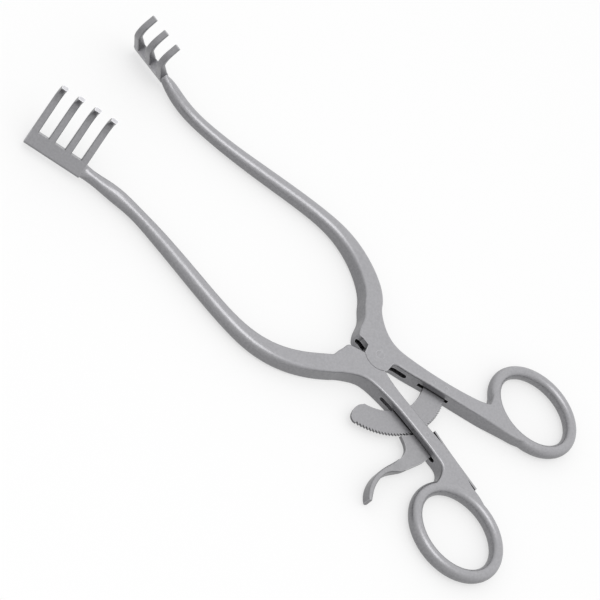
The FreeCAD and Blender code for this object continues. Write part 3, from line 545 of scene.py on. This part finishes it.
@dataclass
class RackPlate:
    """The thin rack with its ratchet teeth and rounded free end, in millimetres and degrees.

    Attributes:
        inner_radius: from the pivot to the inner edge.
        outer_radius: from the pivot to the tips of the teeth.
        thickness: of the plate.
        middle: height of its middle.
        tooth_depth: depth of a tooth gap.
        tooth_pitch: angle from tooth to tooth.
        tooth_count: number of teeth.
        tooth_first: angle of the first tooth.
        gap_shares: where in a pitch a gap begins, is deepest and ends.
        inner_span: angles at which the inner edge begins and ends.
        outer_end: angle at which the outer edge ends, inside the shank.
        free_end: points of the rounded free end, from the inner edge to the first tooth.
        rivets: middles of the two rivet holes.
        rivet_radius: radius of those holes.
        rivet_sides: number of points round each hole.
        edge_break: width of the broken edges.
        edge_segments: number of faces across a broken edge.
        sharp_angle: edges that turn by more than this are broken.
    """

    inner_radius: float = 19.7
    outer_radius: float = 28.6
    thickness: float = 0.9
    middle: float = 3.3
    tooth_depth: float = 0.8
    tooth_pitch: float = 2.5
    tooth_count: int = 35
    tooth_first: float = 195.0
    gap_shares: tuple[float, float, float] = (0.10, 0.14, 0.96)
    inner_span: Point = (298.0, 197.6)
    outer_end: float = 293.8
    free_end: tuple[Point, ...] = (
        (-19.30, -5.70), (-20.00, -5.15), (-20.90, -4.62), (-22.20, -4.25), (-24.00, -4.15),
        (-25.60, -4.35), (-26.70, -4.82), (-27.40, -5.50), (-27.75, -6.40), (-27.72, -7.20))
    rivets: tuple[Point, ...] = ((7.7, -20.3), (9.5, -25.4))
    rivet_radius: float = 0.76
    rivet_sides: int = 24
    edge_break: float = 0.07
    edge_segments: int = 2
    sharp_angle: float = 35.0

    @staticmethod
    def _polar(radius: float, angle: float) -> Point:
        """Return the point at a radius and an angle from the pivot."""
        turn = math.radians(angle)
        return radius * math.cos(turn), radius * math.sin(turn)

    def _arc(self, radius: float, start: float, end: float, step: float = 2.0) -> list[Point]:
        """Return points along an arc about the pivot.

        Args:
            radius: of the arc.
            start: its first angle.
            end: its last angle.
            step: angle between points, at most.

        Returns:
            The points, with both ends.
        """
        count = math.ceil(abs(end - start) / step)
        return [self._polar(radius, start + (end - start) * index / count) for index in range(count + 1)]

    def _outline(self) -> list[Point]:
        """Return the plate's outline, once round.

        Returns:
            The inner edge, the free end, the teeth and the end inside the shank.
        """
        points = self._arc(self.inner_radius, *self.inner_span) + list(self.free_end)
        root = self.outer_radius - self.tooth_depth
        for tooth in range(self.tooth_count):
            for radius, share in zip((self.outer_radius, root, self.outer_radius), self.gap_shares):
                points.append(self._polar(radius, self.tooth_first + (tooth + share) * self.tooth_pitch))
        last = self.tooth_first + self.tooth_count * self.tooth_pitch
        return points + self._arc(self.outer_radius, last, self.outer_end)

    def _hole(self, x: float, y: float) -> list[Point]:
        """Return the outline of the rivet hole about a point.

        Args:
            x: of the hole's middle.
            y: of the hole's middle.

        Returns:
            The points round the hole.
        """
        turns = [360.0 * index / self.rivet_sides for index in range(self.rivet_sides)]
        offsets = [self._polar(self.rivet_radius, turn) for turn in turns]
        return [(x + across, y + along) for across, along in offsets]

    def _mesh(self) -> bpy.types.Mesh:
        """Fill the outline round the holes and raise it to the plate's thickness.

        Returns:
            The plate's mesh, in metres.
        """
        form = bmesh.new()
        base = self.middle - self.thickness / 2
        for ring in [self._outline()] + [self._hole(x, y) for x, y in self.rivets]:
            corners = [form.verts.new(Vector((x, y, base)) * MILLIMETRE) for x, y in ring]
            for index, corner in enumerate(corners):
                form.edges.new((corner, corners[(index + 1) % len(corners)]))
        bmesh.ops.triangle_fill(form, use_beauty=True, use_dissolve=False, edges=form.edges[:])
        raised = bmesh.ops.extrude_face_region(form, geom=form.faces[:])
        tops = [item for item in raised["geom"] if isinstance(item, bmesh.types.BMVert)]
        bmesh.ops.translate(form, verts=tops, vec=(0.0, 0.0, self.thickness * MILLIMETRE))
        bmesh.ops.recalc_face_normals(form, faces=form.faces[:])
        mesh = bpy.data.meshes.new("rack_plate")
        form.to_mesh(mesh)
        form.free()
        return mesh

    def build(self) -> bpy.types.Object:
        """Build the plate.

        Returns:
            The new object, which rides on the half that carries the rack.
        """
        plate = bpy.data.objects.new("rack_plate", self._mesh())
        bpy.context.scene.collection.objects.link(plate)
        bevel = plate.modifiers.new("broken edges", "BEVEL")
        bevel.width = self.edge_break * MILLIMETRE
        bevel.segments = self.edge_segments
        bevel.limit_method = "ANGLE"
        bevel.angle_limit = math.radians(self.sharp_angle)
        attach(plate, "three_prong_body")
        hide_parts("ratchet_rack")
        return plate


@dataclass
class Ratchet:
    """The rack and the release lever, both cut from plate."""

    # the rack's walls and tooth gaps get stronger painted shade than the other pieces
    rack_finish: SteelFinish = SteelFinish(
        "satin rack steel", tone=(0.400, 0.398, 0.412), roughness=0.38, grain=Grain.BLASTED,
        grain_depth=0.012, painted_edge_highlight=0.15, smudge=0.06, painted_wall_shade=0.62, painted_crevice_shade=0.70)
    lever_finish: SteelFinish = SteelFinish(
        "satin lever steel", tone=(0.400, 0.398, 0.410), roughness=0.38, grain=Grain.BLASTED,
        grain_depth=0.012, painted_edge_highlight=0.35, smudge=0.08)

    def dress(self, shop: SteelShop) -> None:
        """Build the rack's plate, then dress it and the lever.

        Args:
            shop: the shop that makes the materials.
        """
        shop.dress(RackPlate().build(), self.rack_finish)
        shop.dress(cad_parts["release_lever"], self.lever_finish)


@dataclass
class BendingStrip:
    """The leaf spring's strip, cut into short lengths.

    Attributes:
        lengths: number of short lengths.
        bend_start: where the bend begins, in metres; the foot below it stays on the shank; not used.
        bend_end: where the bend ends, in metres; the tip above it follows the lever's heel; not used.
    """

    lengths: int = 24
    bend_start: Place = (-0.0125, -0.0460, 0.0033)
    bend_end: Place = (-0.0098, -0.0360, 0.0033)

    def _mesh(self) -> bpy.types.Mesh:
        """Copy the solid spring's mesh and cut it across into its short lengths.

        Returns:
            The cut mesh.
        """
        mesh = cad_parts["leaf_spring"].data.copy()
        mesh.name = "spring_strip"
        form = bmesh.new()
        form.from_mesh(mesh)
        lowest, highest = (corner[1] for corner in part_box("leaf_spring"))
        for index in range(1, self.lengths):
            cut = lowest + (highest - lowest) * index / self.lengths
            everything = form.verts[:] + form.edges[:] + form.faces[:]
            bmesh.ops.bisect_plane(form, geom=everything, plane_co=(0.0, cut, 0.0), plane_no=(0.0, 1.0, 0.0))
        form.to_mesh(mesh)
        form.free()
        return mesh

    def build(self) -> bpy.types.Object:
        """Build the strip.

        Returns:
            The new object, the strip cut into short lengths.
        """
        strip = bpy.data.objects.new("spring_strip", self._mesh())
        bpy.context.scene.collection.objects.link(strip)
        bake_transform(strip)
        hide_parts("leaf_spring")
        return strip


@dataclass
class SpringGroup:
    """The leaf spring and its screw."""

    finish: SteelFinish = SteelFinish(
        "bright spring steel", tone=(0.420, 0.418, 0.430), roughness=0.32, grain=Grain.ALONG_Y,
        grain_depth=0.008, painted_edge_highlight=0.10, smudge=0.08)

    def dress(self, shop: SteelShop) -> None:
        """Build the strip, then dress it and the screw.

        Args:
            shop: the shop that makes the materials.
        """
        shop.dress(BendingStrip().build(), self.finish)
        shop.dress(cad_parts["spring_screw"], self.finish)


@dataclass
class Camera:
    """The photograph's view, found from the object's own measures.

    Attributes:
        place: the lens, in millimetres.
        azimuth: direction from the object to the lens, in degrees from +X.
        tilt: angle between that direction and straight up, in degrees.
        roll: turn of the picture, in degrees.
        focal: focal length in points of a picture as wide as the next value.
        frame_width: width of the picture in points.
        sensor: width of the sensor in millimetres.
        farthest: how far the camera sees, in metres.
    """

    place: Place = (-472.9, 77.0, 497.8)
    azimuth: float = 174.59
    tilt: float = 43.63
    roll: float = 46.73
    focal: float = 2029.1
    frame_width: float = 600.0
    sensor: float = 36.0
    farthest: float = 20.0

    def _turn(self) -> Matrix:
        """Return the camera's turn, from its right, up and back directions.

        Returns:
            The turn as a matrix of four rows.
        """
        azimuth, tilt, roll = (math.radians(angle) for angle in (self.azimuth, self.tilt, self.roll))
        flat = math.sin(tilt)
        back = Vector((flat * math.cos(azimuth), flat * math.sin(azimuth), math.cos(tilt)))
        level = Vector((0.0, 0.0, 1.0)).cross(back).normalized()
        rise = back.cross(level)
        right = level * math.cos(roll) + rise * math.sin(roll)
        up = rise * math.cos(roll) - level * math.sin(roll)
        return Matrix((right, up, back)).transposed().to_4x4()

    def add(self) -> None:
        """Add the camera and make it the scene's own."""
        data = bpy.data.cameras.new("photo_camera")
        data.sensor_width = self.sensor
        data.lens = self.focal / self.frame_width * self.sensor
        data.clip_end = self.farthest
        camera = bpy.data.objects.new("photo_camera", data)
        camera.matrix_world = Matrix.Translation(Vector(self.place) * MILLIMETRE) @ self._turn()
        bpy.context.scene.collection.objects.link(camera)
        bpy.context.scene.camera = camera


@dataclass(frozen=True)
class Lamp:
    """A soft round lamp.

    Attributes:
        name: its name in the scene.
        place: its middle, in metres.
        size: its width, in metres.
        power: in watts.
    """

    name: str
    place: Place
    size: float
    power: float


@dataclass
class Studio:
    """The pale floor, the lamps and the world.

    Attributes:
        floor_size: edge of the floor in metres.
        floor_tone: colour of the floor.
        floor_white: share of plain white where the floor is seen, straight or in polished metal.
        world_level: strength of the world straight overhead.
        world_lean: how much stronger it is towards +X.
        world_least: strength that it doesn't fall below.
        aim: the point that the lamps face.
        lamps: the lamps.
    """

    floor_size: float = 8.0
    floor_tone: tuple[float, float, float] = (0.94, 0.94, 0.94)
    floor_white: float = 0.60
    world_level: float = 0.91
    world_lean: float = 0.12
    world_least: float = 0.12
    aim: Place = (0.0, 0.03, 0.0)
    lamps: list[Lamp] = field(default_factory=lambda: [
        Lamp("overhead_soft", place=(-0.35, 0.03, 1.25), size=0.8, power=2.6),
    ])

    def _floor_material(self) -> bpy.types.Material:
        """Make the floor's material: pale and matt, nearer white where it is looked at.

        Returns:
            The material.
        """
        material = bpy.data.materials.new("pale floor")
        material.use_nodes = True
        material.node_tree.nodes.clear()
        writer = NodeWriter(material.node_tree)
        cloth = writer.add("ShaderNodeBsdfDiffuse")
        cloth.inputs["Color"].default_value = (*self.floor_tone, 1.0)
        white = writer.add("ShaderNodeEmission")
        path = writer.add("ShaderNodeLightPath")
        seen = writer.math("MAXIMUM", path.outputs["Is Camera Ray"], path.outputs["Is Glossy Ray"])
        seen = writer.math("MAXIMUM", seen, path.outputs["Is Transmission Ray"])
        blend = writer.add("ShaderNodeMixShader")
        writer.join(writer.math("MULTIPLY", seen, self.floor_white), blend.inputs["Fac"])
        writer.join(cloth.outputs[0], blend.inputs[1])
        writer.join(white.outputs[0], blend.inputs[2])
        output = writer.add("ShaderNodeOutputMaterial")
        writer.join(blend.outputs[0], output.inputs["Surface"])
        return material

    def add_floor(self) -> None:
        """Add the floor as one flat sheet at the height that the retractor lies on."""
        edge = self.floor_size / 2
        corners = [(-edge, -edge, 0), (edge, -edge, 0), (edge, edge, 0), (-edge, edge, 0)]
        mesh = bpy.data.meshes.new("floor")
        mesh.from_pydata(corners, [], [(0, 1, 2, 3)])
        mesh.materials.append(self._floor_material())
        floor = bpy.data.objects.new("floor", mesh)
        bpy.context.scene.collection.objects.link(floor)

    def add_lamps(self) -> None:
        """Add the soft lamps, each turned towards the object."""
        for lamp in self.lamps:
            data = bpy.data.lights.new(lamp.name, "AREA")
            data.shape = "DISK"
            data.size = lamp.size
            data.energy = lamp.power
            light = bpy.data.objects.new(lamp.name, data)
            light.location = lamp.place
            direction = Vector(self.aim) - Vector(lamp.place)
            light.rotation_euler = direction.to_track_quat("-Z", "Y").to_euler()
            bpy.context.scene.collection.objects.link(light)

    def add_world(self) -> None:
        """Add a plain grey world, a little brighter towards +X."""
        world = bpy.data.worlds.new("studio")
        world.use_nodes = True
        world.node_tree.nodes.clear()
        writer = NodeWriter(world.node_tree)
        place = writer.add("ShaderNodeTexCoord")
        split = writer.add("ShaderNodeSeparateXYZ")
        writer.join(place.outputs["Generated"], split.inputs[0])
        lean = writer.math("MULTIPLY", split.outputs["X"], self.world_lean)
        level = writer.math("MAXIMUM", writer.math("ADD", lean, self.world_level), self.world_least)
        background = writer.add("ShaderNodeBackground")
        writer.join(level, background.inputs["Color"])
        output = writer.add("ShaderNodeOutputWorld")
        writer.join(background.outputs[0], output.inputs["Surface"])
        bpy.context.scene.world = world

    def add(self) -> None:
        """Add everything that isn't the object."""
        self.add_floor()
        self.add_lamps()
        self.add_world()
        bpy.context.scene.view_settings.view_transform = "Standard"


def main() -> None:
    """Dress the retractor, then add the studio and the camera."""
    logging.basicConfig(level=logging.INFO, format="%(name)s: %(message)s")
    shop = SteelShop()
    for group in (ForgedHalves(), Ratchet(), SpringGroup()):
        group.dress(shop)
        LOG.info("finished %s", type(group).__name__)
    Studio().add()
    Camera().add()


if __name__ == "__main__":
    main()
